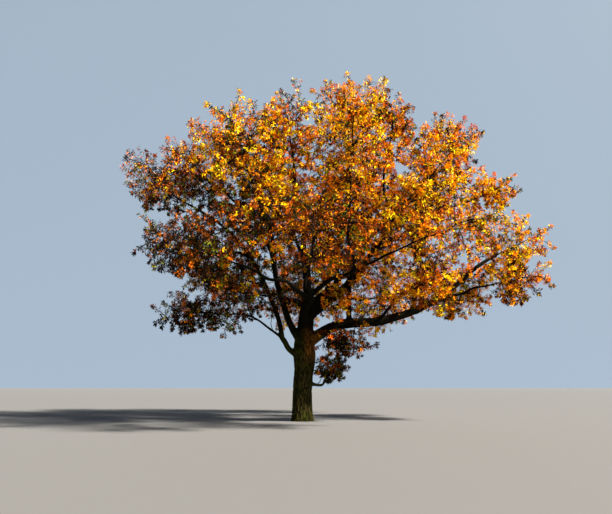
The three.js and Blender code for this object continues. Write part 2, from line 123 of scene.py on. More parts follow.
class LimbLine:
    """The middle line of a limb: an arc from each knot to the next, with a seeded crook in the whole."""

    def __init__(self, knots, crook, draw):
        self.arcs = []
        for (start, leaving), (end, entering) in zip(knots, knots[1:]):
            handle = HANDLE * np.linalg.norm(end - start)
            self.arcs.append(np.array([start, start + leaving * handle, end - entering * handle, end]))
        across = knots[-1][0] - knots[0][0]
        self.crook = crook * np.linalg.norm(across)
        self.side = sideways(unit(across))
        self.over = np.cross(unit(across), self.side)
        self.phases = [draw() for _ in CROOK_WAVES]
        self.times = np.linspace(0, 1, LINE_STEPS + 1)
        steps = np.linalg.norm(np.diff(self.at_time(self.times), axis=0), axis=1)
        self.lengths = np.concatenate([[0], np.cumsum(steps)])
        self.length = self.lengths[-1]

    def at_time(self, times):
        times = np.atleast_1d(times)
        arc = np.minimum((times * len(self.arcs)).astype(int), len(self.arcs) - 1)
        t = (times * len(self.arcs) - arc)[:, None]
        a, b, c, d = np.array(self.arcs)[arc].transpose(1, 0, 2)
        points = a * (1 - t) ** 3 + 3 * b * t * (1 - t) ** 2 + 3 * c * t * t * (1 - t) + d * t**3
        held = self.crook * np.sin(np.pi * times) ** 2
        waves = [np.sin(2 * np.pi * (turns * times + phase))
                 for turns, phase in zip(CROOK_WAVES, self.phases)]
        aside = held * (waves[0] + SHORT_WAVE * waves[1])
        above = held * (waves[2] + SHORT_WAVE * waves[3])
        return points + aside[:, None] * self.side + above[:, None] * self.over

    def time_of(self, share):
        return np.interp(np.asarray(share) * self.length, self.lengths, self.times)

    def point(self, share):
        points = self.at_time(self.time_of(share))
        return points if np.ndim(share) else points[0]

    def tangent(self, share):
        time = self.time_of(share)
        ahead, behind = np.minimum(time + TANGENT_STEP, 1), np.maximum(time - TANGENT_STEP, 0)
        way = units(self.at_time(ahead) - self.at_time(behind))
        return way if np.ndim(share) else way[0]

    def frames(self, rings):
        """At even steps, the way along the line and two ways square to it, carried on with no twist."""
        along = self.tangent(np.linspace(0, 1, rings + 1))
        level = np.eye(3)[2 - np.argmin(np.abs(along[0][::-1]))]
        normal = np.cross(along[0], unit(np.cross(along[0], level)))
        normals = [normal]
        for before, after in zip(along, along[1:]):
            axis = np.cross(before, after)
            turn = np.arcsin(min(1, np.linalg.norm(axis)))
            if turn > LEAST_TURN:
                axis = unit(axis)
                normal = (normal * np.cos(turn) + np.cross(axis, normal) * np.sin(turn)
                          + axis * (axis @ normal) * (1 - np.cos(turn)))
            normals.append(normal)
        normals = np.array(normals)
        return along, normals, np.cross(along, normals)


class Limb(namedtuple("Limb", "name line radius_at rings")):
    """A round tapering limb: its line, its radius along it, and the rings of its plain solid."""

    def middle(self, share):
        """The middle of the plain solid there, which runs straight from ring to ring."""
        ring = min(self.rings - 1, int(share * self.rings))
        start, end = self.line.point(np.array([ring, ring + 1]) / self.rings)
        return start + (end - start) * (share * self.rings - ring)


def trunk_radius(share, angle=0):
    height = share * TRUNK_HEIGHT
    taper = TRUNK_RADIUS + (TRUNK_TOP_RADIUS - TRUNK_RADIUS) * share**TRUNK_TAPER
    foot = np.exp(-height / FLARE_HEIGHT)
    ridges = np.cos(ROOT_RIDGES * angle + ROOT_TURN) + ROOT_OVAL * np.cos(2 * angle + ROOT_OVAL_TURN)
    swell = FORK_SWELL * np.exp(-(((height - FORK_SWELL_HEIGHT) / FORK_SWELL_SPAN) ** 2))
    return taper * (1 + swell + foot * (FLARE + ROOT_RIDGE * ridges))


trunk_top = np.array([*TRUNK_LEAN, TRUNK_HEIGHT])
trunk_way = unit(UP + (unit(trunk_top) - UP) * TRUNK_TILT)
trunk_knots = [(np.array([0.0, 0.0, -BELOW]), UP), (trunk_top, trunk_way)]
trunk_line = LimbLine(trunk_knots, TRUNK_CROOK, seeded(TRUNK_SEED))
limbs = {"trunk": Limb("trunk", trunk_line, trunk_radius, TRUNK_RINGS)}

# The boughs: limbs of solid wood that fork from the trunk and from each other, each with a collar at
# its foot, a slow taper and a crook of its own. Each ends at the edge of the mass of foliage it bears.
TIP_SHARE = 0.27
LEAST_TIP = 0.042
COLLAR = 0.28
COLLAR_LENGTH = 0.42
CROOK = 0.025  # how far a bough wanders off its arc, as a share of its length
BOUGH_TAPER = 0.85
BOUGH_SEED = 11
HEAVY = 0.12
HEAVY_RINGS = 7
LIGHT_RINGS = 4
ENTRY = 0.74  # a bough ends this far out in its mass, as a share of the mass's reach

# A bough leaves its parent at a share of its length, with the radius of its foot and a rise in degrees.
# It enters its mass, of that middle and full size, at its lift. Some bend by a point, at a climb.
Plan = namedtuple("Plan", "name parent at foot rise lift mass size by climb", defaults=(None, 0))
PLANS = [Plan(*row) for row in (
    ("left_far", "trunk", 0.446, 0.13, 61, 26, (-6.38, -0.5, 10.79), (4.05, 6.4, 3.24),
     (-0.91, -0.15, 3.5), 92.5),
    ("left_edge", "left_far", 0.56, 0.075, 28, 8, (-5.77, 0.7, 7.66), (3.75, 6.8, 2.35)),
    ("left_shelf", "left_far", 0.4, 0.065, 14, 4, (-3.71, -1.0, 6.41), (3.79, 4.6, 1.84)),
    ("left_low", "left_far", 0.153, 0.055, 45, 8, (-4.98, -0.3, 4.61), (3.75, 4.6, 1.92),
     (-2.48, -0.2, 4.49), 31),
    ("left_shoulder", "trunk", 0.591, 0.165, 52, 68, (-2.72, -0.4, 12.68), (3.59, 6.4, 3.03)),
    ("left_crest", "left_shoulder", 0.5, 0.09, 52, 30, (-5.42, 1.9, 12.38), (3.93, 5.6, 3.6)),
    ("front_mid_left", "left_shoulder", 0.34, 0.09, 45, 22, (-2.15, -4.5, 10.4), (5.1, 5.6, 4.4)),
    ("top_left", "trunk", 0.95, 0.185, 84, 80, (-0.72, 0.9, 14.35), (3.48, 6.4, 3.2)),
    ("back_mid_left", "top_left", 0.2, 0.105, 45, 25, (-1.6, 4.7, 11.6), (5.2, 5.8, 5.2)),
    ("top", "trunk", 0.9, 0.19, 48, 84, (2.35, 0.7, 14.75), (5.06, 7.2, 4.01), (1.7, 0.06, 6.5), 74),
    ("right_crest", "trunk", 0.82, 0.19, 38, 62, (6.98, 0.5, 12.82), (3.43, 6.4, 3.45)),
    ("top_right", "right_crest", 0.55, 0.092, 74, 66, (4.52, 1.4, 14.55), (3.02, 6.2, 3.11)),
    ("right_arm", "right_crest", 0.45, 0.086, 38, 20, (8.85, -0.2, 10.35), (2.7, 5.4, 1.85)),
    ("front_mid_right", "right_crest", 0.27, 0.1, 38, 20, (4.9, -4.1, 9.5), (4.5, 5.2, 4.1)),
    ("right_edge", "trunk", 0.6, 0.255, 38, 27, (10.12, 0.6, 8.05), (3.8, 6.0, 2.9),
     (4.3, -0.06, 4.6), 2),
    ("right_tip", "right_edge", 0.62, 0.09, 16, 8, (9.12, -1.4, 5.98), (3.13, 4.8, 2.44)),
    ("right_low", "right_edge", 0.47, 0.096, 4, 16, (7.35, 1.5, 5.75), (3.8, 4.2, 2.6)),
    ("right_skirt", "right_edge", 0.34, 0.08, 26, 10, (4.85, -1.9, 5.9), (3.8, 3.6, 2.7)),
    ("under_limb", "right_edge", 0.16, 0.046, -16, -14, (1.6, -0.7, 3.2), (3.9, 2.3, 1.25)),
    ("front_low", "trunk", 0.7, 0.165, 46, 16, (0.45, -7.1, 6.6), (5.2, 4.1, 3.9)),
    ("front_low_left", "front_low", 0.36, 0.095, 26, 10, (-3.9, -5.2, 6.5), (4.9, 4.4, 3.8)),
    ("front_low_right", "front_low", 0.44, 0.098, 24, 12, (4.8, -6.0, 6.8), (5.0, 4.2, 3.9)),
    ("front_mid", "right_edge", 0.22, 0.112, 84, 40, (1.9, -4.7, 10.5), (5.2, 5.8, 4.4),
     (2.05, -1.5, 6.9), 62),
    ("back_low", "trunk", 0.77, 0.16, 46, 16, (-0.3, 6.9, 6.4), (5.2, 4.6, 4.6)),
    ("back_low_left", "back_low", 0.34, 0.095, 26, 10, (-4.1, 4.8, 6.6), (4.8, 4.9, 4.6)),
    ("back_low_right", "trunk", 0.86, 0.165, 40, 12, (4.8, 6.0, 6.4), (5.1, 4.8, 4.5)),
    ("back_mid_right", "back_low_right", 0.42, 0.102, 44, 26, (6.7, 4.4, 10.5), (4.9, 5.4, 4.8)),
    ("back_mid", "back_low_right", 0.28, 0.102, 64, 45, (3.0, 5.0, 11.8), (5.2, 6.0, 5.4)),
    ("low_branch", "trunk", 0.32, 0.084, -20, 40, (1.24, 0.1, 2.25), (1.7, 1.8, 1.4),
     (0.85, 0.0, 1.48), 0),
)]


def ellipsoid_reach(size, way):
    return 1 / np.linalg.norm(way / (np.array(size) / 2))


def make_bough(plan, parent, index):
    foot = parent.line.point(plan.at)
    middle = np.array(plan.mass)
    way = unit(middle - foot)
    level = unit(way * (1, 1, 0))
    slope = lambda degrees: turned(level, UP, math.radians(degrees))
    last = unit(middle - np.array(plan.by)) if plan.by else way
    tip = middle - last * ellipsoid_reach(plan.size, last) * ENTRY
    bend = [(np.array(plan.by), slope(plan.climb))] if plan.by else []
    knots = [(foot, slope(plan.rise)), *bend, (tip, slope(plan.lift))]
    line = LimbLine(knots, CROOK, seeded(index + BOUGH_SEED))
    tip_radius = max(LEAST_TIP, plan.foot * TIP_SHARE)

    def radius_at(share, angle=0):
        collar = plan.foot * COLLAR * np.exp(-share * line.length / COLLAR_LENGTH)
        return tip_radius + (plan.foot - tip_radius) * (1 - share) ** BOUGH_TAPER + collar

    return Limb(plan.name + "_bough", line, radius_at, HEAVY_RINGS if plan.foot > HEAVY else LIGHT_RINGS)


for index, plan in enumerate(PLANS):
    limbs[plan.name] = make_bough(plan, limbs[plan.parent], index)

# The bark: one rough skin of cork over the trunk and all the boughs, grown together at the forks and
# split by long fissures into a net of upright ridges, deep on the trunk and fine on the thin boughs.
SIDES = ["left", "top", "right", "front", "back", "low"]
SKIN_SIDES = 24
TRUNK_SIDES = 64
SKIN_RING_GAP = 0.07
SKIN_CELL = 0.029
SMOOTHINGS = 2
NEARBY = 1.5
GRAIN_SHIFT = 3.7
GRAIN_STRETCH = 0.2
RIDGE_SEED = 7
RIDGE_SPACING = 0.085
LEAST_SPACING = 0.55
RIDGE_STRAY, STRAY_SCALE = 0.45, 0.7
FISSURE_WIDTH = 0.42
PLATE_SHARE, GRIT_SHARE, GRIT_SCALE = 0.85, 0.15, 3.1
RELIEF_DEPTH = 0.03
RELIEF_POWER = 1.2
LEAST_GIRTH = 0.1
FORK_BLEND = 0.07
DARK_CORK = (0.018, 0.015, 0.006, 1)
PALE_CORK = (0.09, 0.077, 0.026, 1)
BROWN_CORK = (0.11, 0.072, 0.018, 1)
GREEN_CORK = (0.048, 0.058, 0.007, 1)
# painted shade, laid over the bark high up under the crown
SHADY_CORK = (0.006, 0.0056, 0.0036, 1)
# painted sunlight, a warm patch on the right of the fork
SUNLIT_CORK = (0.24, 0.1, 0.014, 1)
# near black in the fissures: the cork's own darker colour there, with painted shade
FISSURE_CORK_AND_SHADE = (0.006, 0.0055, 0.003, 1)
FINE_NOISE = (46.0, 4.0)  # the scale and detail of each noise
PATCH_NOISE = (5.0, 3.0)
CLOUD_NOISE = (1.6, 2.0)
CORK_RANGE = (0.3, 0.72)
PATCH_RANGE = (0.42, 0.7)
GREEN_RANGE = (0.4, 0.64)
GREEN_LEAN, GREEN_LIFT = -0.22, 0.05  # the green grows thicker towards -X
PATCH_SHARE, GREEN_SHARE, SHADE_SHARE, SUN_PATCH_SHARE, FISSURE_SHADE_SHARE = 0.5, 0.75, 0.97, 0.85, 0.85
SHADE_HEIGHTS = (2.9, 4.0)  # painted shade: the bark darkens between these heights and stays dark above, under the crown
SUN_PATCH_FROM, SUN_PATCH_TO = (2.2, 3.1), (3.4, 4.1)  # painted sunlight: a warm lit patch on the right (+X) side of the trunk, round the fork between these heights
SUN_PATCH_ACROSS = (0.6, 1.1)
SUN_PATCH_RAGGED = (0.2, 0.45)
FISSURE_RANGE = (0.25, 0.75)
FISSURE_FINE = 0.35
BUMP_RIDGE, BUMP_FINE = 0.6, 0.5
BUMP_STRENGTH, BUMP_DEPTH = 0.7, 0.015


def mesh_of(bm, name):
    mesh = bpy.data.meshes.new(name)
    bm.to_mesh(mesh)
    bm.free()
    return mesh


def smooth(bm, verts):
    for _ in range(SMOOTHINGS):
        bmesh.ops.smooth_vert(bm, verts=verts, factor=0.5,
                              use_axis_x=True, use_axis_y=True, use_axis_z=True)


def limb_shape(limb, sides):
    """A closed cylinder whose rings are moved onto the limb's line."""
    rings = round(limb.line.length / SKIN_RING_GAP)
    bm = bmesh.new()
    bmesh.ops.create_cone(bm, cap_ends=True, segments=sides, radius1=1, radius2=1, depth=1)
    upright = [edge for edge in bm.edges if abs(edge.verts[0].co.z - edge.verts[1].co.z) > 0.5]
    bmesh.ops.subdivide_edges(bm, edges=upright, cuts=rings - 1)
    points = limb.line.point(np.linspace(0, 1, rings + 1))
    _, normals, binormals = limb.line.frames(rings)
    for vertex in bm.verts:
        ring = round((vertex.co.z + 0.5) * rings)
        angle = math.atan2(vertex.co.y, vertex.co.x)
        across = turned(normals[ring], -binormals[ring], angle)
        vertex.co = points[ring] + across * limb.radius_at(ring / rings, angle)
    return mesh_of(bm, "limb_shape")


def add_piece(name, data):
    piece = bpy.data.objects.new(name, data)
    bpy.context.scene.collection.objects.link(piece)
    return piece


def fused_skin():
    """The limbs' cylinders made one skin, cut flat at the ground."""
    bm = bmesh.new()
    for limb in limbs.values():
        bm.from_mesh(limb_shape(limb, TRUNK_SIDES if limb.name == "trunk" else SKIN_SIDES))
    bmesh.ops.recalc_face_normals(bm, faces=bm.faces)
    shapes = add_piece("limb_shapes", mesh_of(bm, "limb_shapes"))
    fuse = shapes.modifiers.new("fuse", "REMESH")
    fuse.mode = "VOXEL"
    fuse.voxel_size = SKIN_CELL
    graph = bpy.context.evaluated_depsgraph_get()
    bm = bmesh.new()
    bm.from_mesh(shapes.evaluated_get(graph).to_mesh())
    bpy.data.objects.remove(shapes)
    smooth(bm, bm.verts)
    everything = [*bm.verts, *bm.edges, *bm.faces]
    cut = bmesh.ops.bisect_plane(bm, geom=everything, plane_co=(0, 0, 0), plane_no=(0, 0, 1),
                                 clear_inner=True)
    rim = [edge for edge in cut["geom_cut"] if isinstance(edge, bmesh.types.BMEdge)]
    bmesh.ops.edgeloop_fill(bm, edges=rim)
    return bm


def limb_places(points):
    """For each point its limb, its place in that limb's grain, and how clear it is of the others."""
    best, second = np.full((2, len(points)), np.inf)
    owner = np.zeros(len(points), int)
    grain, outward = np.zeros((2, len(points), 3))
    girth = np.zeros(len(points))
    for number, limb in enumerate(limbs.values()):
        count = round(limb.line.length / SKIN_RING_GAP)
        shares = np.linspace(0, 1, count + 1)
        line = limb.line.point(shares)
        along, normals, binormals = limb.line.frames(count)
        radii = np.array([limb.radius_at(share) for share in shares])
        margin = radii.max() * NEARBY
        near = np.nonzero(((points > line.min(0) - margin) & (points < line.max(0) + margin)).all(1))[0]
        if not len(near):
            continue
        apart = points[near][:, None] - line[None]
        ring = np.argmin((apart**2).sum(2), axis=1)
        apart = apart[np.arange(len(near)), ring]
        beyond = (apart * along[ring]).sum(1)
        apart -= beyond[:, None] * along[ring]
        distance = np.linalg.norm(apart, axis=1)
        gap = distance - radii[ring]
        closer = gap < best[near]
        second[near] = np.where(closer, best[near], np.minimum(second[near], gap))
        chosen = near[closer]
        best[chosen] = gap[closer]
        owner[chosen] = number
        ring = ring[closer]
        place = shares[ring] * limb.line.length + beyond[closer]
        across = apart[closer]
        round_it = (across * normals[ring]).sum(1), (across * binormals[ring]).sum(1)
        grain[chosen] = np.stack([*round_it, place], axis=1) + number * GRAIN_SHIFT
        outward[chosen] = across / np.maximum(distance[closer], TINY)[:, None]
        girth[chosen] = radii[ring]
    clear = np.clip((second - best) / FORK_BLEND, 0, 1)
    return owner, grain, outward, girth, clear


def ridge_height(place, spacing):
    """From 0 in a fissure of the bark to 1 on the back of a ridge."""
    spot = Vector((place[0] / spacing, place[1] / spacing, place[2] * GRAIN_STRETCH / spacing))
    spot += RIDGE_STRAY * noise.noise_vector(spot * STRAY_SCALE)
    near = noise.voronoi(spot)[0]
    edge = min(1.0, max(0.0, (near[1] - near[0]) / FISSURE_WIDTH))
    plate = edge * edge * (3 - 2 * edge)
    return PLATE_SHARE * plate + GRIT_SHARE * (0.5 + 0.5 * noise.noise(spot * GRIT_SCALE))


def add_relief(mesh):
    """Sinks the fissures of the bark into a skin, and notes its grain and ridges for the finish."""
    points = np.empty(len(mesh.vertices) * 3, np.float32)
    mesh.vertices.foreach_get("co", points)
    points = points.reshape(-1, 3).astype(float)
    _, grain, outward, girth, clear = limb_places(points)
    share = np.clip(girth / TRUNK_RADIUS, LEAST_GIRTH, 1)
    spacing = RIDGE_SPACING * np.maximum(LEAST_SPACING, share)
    height = np.array([ridge_height(*at) for at in zip(grain, spacing)])
    depth = RELIEF_DEPTH * share**RELIEF_POWER * clear * (1 - height)
    points -= outward * depth[:, None]
    mesh.vertices.foreach_set("co", points.ravel())
    grain[:, 2] *= GRAIN_STRETCH
    mesh.attributes.new("grain", "FLOAT_VECTOR", "POINT").data.foreach_set("vector", grain.ravel())
    mesh.attributes.new("ridge", "FLOAT", "POINT").data.foreach_set("value", height)
    mesh.update()


def side_of(name):
    """The part of the crown that a bough belongs to."""
    first = name.split("_")[0]
    return "low" if first == "under" else first


def names_on(side):
    return [plan.name for plan in PLANS if side_of(plan.name) == side]


def cut_skin(skin, faces):
    """A copy of those faces of the skin."""
    bm = skin.copy()
    bm.faces.ensure_lookup_table()
    bmesh.ops.delete(bm, geom=[bm.faces[i] for i in np.nonzero(~faces)[0]], context="FACES")
    return bm


def close_skin(bm):
    """Closes each opening with a fan of faces that meet inside the wood."""
    rims = [edge for edge in bm.edges if edge.is_boundary]
    filled = bmesh.ops.holes_fill(bm, edges=rims)["faces"]
    for edge in rims:
        edge.smooth = False
    bmesh.ops.poke(bm, faces=filled)


class Finish:
    """A material that is built up from nodes."""

    def __init__(self, name, **constants):
        self.material = bpy.data.materials.new(name)
        self.material.use_nodes = True
        self.tree = self.material.node_tree
        self.shader = self.tree.nodes["Principled BSDF"]
        for socket, value in constants.items():
            self.shader.inputs[socket.replace("_", " ")].default_value = value

    def node(self, kind, settings=None, sockets=None, output=0):
        """Adds a node, with its settings and the values or wires of its sockets."""
        node = self.tree.nodes.new(kind)
        for name, value in (settings or {}).items():
            setattr(node, name, value)
        for name, value in (sockets or {}).items():
            self.set(node.inputs[name], value)
        return Wire(self, node.outputs[output])

    def set(self, socket, value):
        if isinstance(value, Wire):
            self.tree.links.new(value.socket, socket)
        else:
            socket.default_value = value

    def mix(self, share, start, end):
        return self.node("ShaderNodeMix", {"data_type": "RGBA"}, {0: share, 6: start, 7: end}, output=2)


class Wire:
    """A socket of a finish, on which shader maths is written as an expression."""

    def __init__(self, finish, socket):
        self.finish = finish
        self.socket = socket

    def maths(self, operation, first, second):
        return self.finish.node("ShaderNodeMath", {"operation": operation}, {0: first, 1: second})

    def __add__(self, other):
        return self.maths("ADD", self, other)

    def __radd__(self, other):
        return self.maths("ADD", other, self)

    def __sub__(self, other):
        return self.maths("SUBTRACT", self, other)

    def __rsub__(self, other):
        return self.maths("SUBTRACT", other, self)

    def __mul__(self, other):
        return self.maths("MULTIPLY", self, other)

    def __rmul__(self, other):
        return self.maths("MULTIPLY", other, self)

    def ramp(self, low, high):
        """From 0 where the value is low to 1 where it is high, with no corner at either."""
        settings = {"interpolation_type": "SMOOTHSTEP"}
        return self.finish.node("ShaderNodeMapRange", settings, {0: self, 1: low, 2: high})


def bark_finish():
    bark = Finish("oak_bark", Roughness=0.93, Specular_IOR_Level=0.04)
    grain = bark.node("ShaderNodeAttribute", {"attribute_name": "grain"}, output=1)
    ridge = bark.node("ShaderNodeAttribute", {"attribute_name": "ridge"}, output=2)
    noise_of = lambda scale, detail, vector: bark.node(
        "ShaderNodeTexNoise", {}, {"Vector": vector, "Scale": scale, "Detail": detail, "Roughness": 0.6})
    fine = noise_of(*FINE_NOISE, grain)
    patches = noise_of(*PATCH_NOISE, grain)
    place = bark.node("ShaderNodeTexCoord", output=3)
    height = bark.node("ShaderNodeSeparateXYZ", sockets={0: place}, output=2)
    across = bark.node("ShaderNodeSeparateXYZ", sockets={0: place}, output=0)
    cloud = noise_of(*CLOUD_NOISE, place)

    cork = bark.mix(fine.ramp(*CORK_RANGE), DARK_CORK, PALE_CORK)
    cork = bark.mix(patches.ramp(*PATCH_RANGE) * PATCH_SHARE, cork, BROWN_CORK)
    green = (cloud + across * GREEN_LEAN + GREEN_LIFT).ramp(*GREEN_RANGE)
    cork = bark.mix(green * GREEN_SHARE, cork, GREEN_CORK)
    # painted sunlight on the right (+X) side of the trunk round the fork
    sun_patch = height.ramp(*SUN_PATCH_FROM) * (1 - height.ramp(*SUN_PATCH_TO)) * (1 - across.ramp(*SUN_PATCH_ACROSS))
    sun_patch = sun_patch * (across + patches * 0.5).ramp(*SUN_PATCH_RAGGED)
    # painted shade of the crown over the upper trunk and the boughs
    cork = bark.mix(height.ramp(*SHADE_HEIGHTS) * SHADE_SHARE, cork, SHADY_CORK)
    cork = bark.mix(sun_patch * SUN_PATCH_SHARE, cork, SUNLIT_CORK)
    # the fissures painted near black: partly the cork's own colour, partly painted shade in the cracks
    fissure = 1 - (ridge + fine * FISSURE_FINE).ramp(*FISSURE_RANGE)
    cork = bark.mix(fissure * FISSURE_SHADE_SHARE, cork, FISSURE_CORK_AND_SHADE)
    bark.set(bark.shader.inputs["Base Color"], cork)
    rough = ridge * BUMP_RIDGE + fine * BUMP_FINE
    bark.set(bark.shader.inputs["Normal"], bark.node(
        "ShaderNodeBump", {}, {"Strength": BUMP_STRENGTH, "Distance": BUMP_DEPTH, "Height": rough}))
    return bark.material


noise.seed_set(RIDGE_SEED)
bark_material = bark_finish()
skin = fused_skin()
skin_owner = limb_places(np.array([vertex.co[:] for vertex in skin.verts]))[0]
limb_sides = np.array(["trunk"] + [side_of(plan.name) for plan in PLANS])
face_sides = limb_sides[[skin_owner[face.verts[0].index] for face in skin.faces]]
for side in ["trunk", *SIDES]:
    bm = cut_skin(skin, face_sides == side)
    if side == "trunk":
        bmesh.ops.subdivide_edges(bm, edges=bm.edges, cuts=1, use_grid_fill=True)
        inner = [vertex for vertex in bm.verts if not vertex.is_boundary and vertex.co.z > SKIN_CELL]
        smooth(bm, inner)
    close_skin(bm)
    for face in bm.faces:
        face.smooth = True
    mesh = mesh_of(bm, f"{side}_bark")
    add_relief(mesh)
    mesh.materials.append(bark_material)
    piece = add_piece(mesh.name, mesh)
    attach(piece, "root")
    stands_for = [name + "_bough" for name in names_on(side)]
    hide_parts(*(stands_for or ["trunk"]))
skin.free()

# The twigs: in each mass a stem runs on from the bough's tip, with twigs off it, whorls of shoots along
# the twigs, and thin side shoots along those, all of live wood that tapers to the buds.
CROWN_MIDDLE = np.array([1.4, 0.0, 8.0])
STEM_SEED = 51
TWIG_SEED = 101
TWIGS = 6  # the stem's own end is the first of them, and the last would point back
LARGE = 100  # a mass with a box of more cubic metres has one twig more
TWIG_REACH = 0.62
TWIG_LEAST, TWIG_SPREAD = 0.92, 0.16
TWIG_RADIUS = 0.026
TWIG_TIP_RADIUS = 0.02
STEM_RADIUS = 0.04
STEM_TIP_RADIUS = 0.028
STEM_RINGS = 2
FORWARD = 0.22  # a twig leaves the stem this share of it before the point beside its tip
FORK_RANGE = (0.12, 0.92)
OWN_WAY, STEM_WAY = 0.65, 0.35
WANDER = 0.3
CLEARANCE = 0.006
JOINT_GAP = 0.00035
SAMPLE_STEP = 0.09
LIMB_ROOM = 0.6
RIDGE_ROOM = 1.12
SPRAYS = 3
SPRAY_OPEN = 0.85
SPRAY_MOST = 0.62
SPRAY_WIDTH = 0.66
SPRAY_WIDEST = 0.58
SPRAY_THICKNESS = 0.035
SPRAY_SUNK = 0.045
SPRAY_STAGGER = 0.07
SPRAY_FITS = (0.97, 0.8, 0.62)
GOLDEN = math.pi * (3 - math.sqrt(5))
WHORLS = ((0.0, SPRAY_OPEN), (0.2, 1.0), (0.42, 1.15), (0.62, 1.3))  # how far back, how wide open
LEAST_SHARE = 0.08
SHORTEST_SHOOT = 0.3
BLADE_ROWS, BLADE_HALF = 6, 2
INNER_SEED = 900
INNER_SHOOT_SEED = 950
INNER_START = 0.6
INNER_END = 0.4
INNER_GAP = 0.38
DENSE_GAPS = {"left_far": 0.23, "top_left": 0.25, "front_mid": 0.25, "right_edge": 0.3}
INNER_LENGTHS = (0.6, 2.0)
INNER_ALONG, INNER_ASIDE, INNER_UP = 0.45, 0.9, 0.3
INNER_OWN_WAY, INNER_BOUGH_WAY = 0.6, 0.4
INNER_ROOM = 2.4
INNER_CLEAR = 0.25
INNER_STRAY = 1.2
INNER_WHORLS = ((0.0, SPRAY_OPEN), (0.3, 1.15))
HEARTS = ((np.array([1.2, 0.0, 10.3]), np.array([5.6, 5.0, 3.9])),
          (np.array([0.9, -0.8, 5.3]), np.array([2.5, 1.3, 1.5])))
SPARSE = {"under_limb": 0.85, "low_branch": 0.85, "front_low": 0.75, "front_low_left": 0.75,
          "front_low_right": 0.85}
SHOOT_WOOD = 0.86
SHOOT_RADII = (0.016, 0.012, 0.007)
SPIKE_RADIUS = 0.006
TWIG_RINGS, TWIG_SIDES = 6, 5
TWIG_NARROWING = 0.4
STEEP = 0.9
TIP_POINT = 0.8
SIDE_SHOOT_GAP = 0.14
SIDE_SHOOT_OPEN = 0.95
SIDE_SHOOT_TURN = 0.7
SIDE_SHOOT_STRAY = 0.12
SIDE_SHOOT_LENGTHS = (0.8, 1.15)
SIDE_SHOOT_LEAST = 0.1
SIDE_SHOOT_GAPS = (0.7, 0.5, 0.4)  # before the first, the stray of each, and past the last, in gaps
OPEN_MOST, OPEN_LESS = 1.1, 0.6
NARROW, WIDER = 0.35, 0.75
END_SHOOT = 0.9
SIDE_LEAF, END_LEAF = 0.3, 0.6  # how far leaves stand past a side shoot and an end, in leaves
TIP_OUTSIDE, TIP_CLEAR = 0.5, 0.4  # how far a tip may leave its mass or near a limb, in leaves
LEAF_LENGTH = 0.13
TWIG_CORK = (0.015, 0.011, 0.008, 1)

Shoot = namedtuple("Shoot", "root along across length")


class Space:
    """The room of one mass of foliage: an ellipsoid, cut by a plane towards each neighbour."""

    def __init__(self, middle, size):
        self.middle = np.array(middle)
        self.half = np.array(size) / 2
        self.size = size
        self.normals = np.empty((0, 3))
        self.offsets = np.empty(0)

    def wall(self, normal, point):
        self.normals = np.vstack([self.normals, normal])
        self.offsets = np.append(self.offsets, normal @ point)

    def note_limbs(self, samples):
        """Keeps the samples of the limbs that come near."""
        near = np.linalg.norm(samples["point"] - self.middle, axis=1) < self.half.max() + LIMB_ROOM
        self.samples = samples[near]

    def reach(self, start, way):
        """How far one can go from a point inside before leaving."""
        begin, step = (start - self.middle) / self.half, way / self.half
        a, b, c = step @ step, begin @ step, begin @ begin - 1
        if c > 0:
            return 0.0
        facing = self.normals @ way
        ahead = facing > 0
        walls = (self.offsets[ahead] - CLEARANCE - self.normals[ahead] @ start) / facing[ahead]
        return max(0.0, min([(math.sqrt(b * b - a * c) - b) / a, *walls]))

    def holds(self, points, margin=CLEARANCE):
        """Whether each point lies inside."""
        round_it = np.linalg.norm((points - self.middle) / self.half, axis=-1) <= 1
        return round_it & (points @ self.normals.T <= self.offsets - margin).all(-1)

    def clear(self, points, around, own):
        """Whether each point, with that much round it, is clear of every limb but its own stem."""
        others = self.samples[self.samples["owner"] != own]
        apart = np.linalg.norm(points[..., None, :] - others["point"], axis=-1)
        return (apart > others["radius"] + around + CLEARANCE).all(-1)


def make_stem(bough, space, index):
    """The stem of a mass: on from its bough's tip, through its middle and out towards the sky."""
    tip_way = bough.line.tangent(1.0)
    foot = bough.line.point(1.0) + tip_way * JOINT_GAP
    sky = unit(space.middle - CROWN_MIDDLE)
    outward = unit(unit(space.middle - foot) + sky)
    end = space.middle + outward * TWIG_REACH * space.reach(space.middle, outward)
    line = LimbLine([(foot, tip_way), (end, outward)], CROOK, seeded(index + STEM_SEED))
    radius_at = lambda share: STEM_RADIUS + (STEM_TIP_RADIUS - STEM_RADIUS) * share
    return Limb(index, line, radius_at, STEM_RINGS), outward


def limb_samples(limb, owner):
    count = math.ceil(limb.line.length / SAMPLE_STEP)
    shares = np.linspace(0, 1, count + 1)
    rows = np.zeros(count + 1, [("point", float, 3), ("radius", float), ("owner", int)])
    rows["point"] = limb.line.point(shares)
    rows["radius"] = np.hypot([limb.radius_at(share) * RIDGE_ROOM for share in shares], SAMPLE_STEP / 2)
    rows["owner"] = owner
    return rows


def even_directions(count, pole, turn):
    side = sideways(pole)
    over = np.cross(pole, side)
    for i in range(count):
        along = 1 - (2 * i + 1) / count
        level = math.sqrt(1 - along * along)
        yield turned(side * level, over * level, i * GOLDEN + turn) + pole * along


def make_twig(stem, tip, draw):
    foot, end = stem.line.point(np.array([0.0, 1.0]))
    axis = end - foot
    at = np.clip((tip - foot) @ axis / (axis @ axis) - FORWARD, *FORK_RANGE)
    root = stem.middle(at)
    way = unit(tip - root)
    foot_way = unit(way * OWN_WAY + stem.line.tangent(at) * STEM_WAY)
    line = LimbLine([(root, foot_way), (tip, way)], CROOK, draw)
    radius_at = lambda share: TWIG_RADIUS + (TWIG_TIP_RADIUS - TWIG_RADIUS) * share
    return Limb(stem.name, line, radius_at, 1)


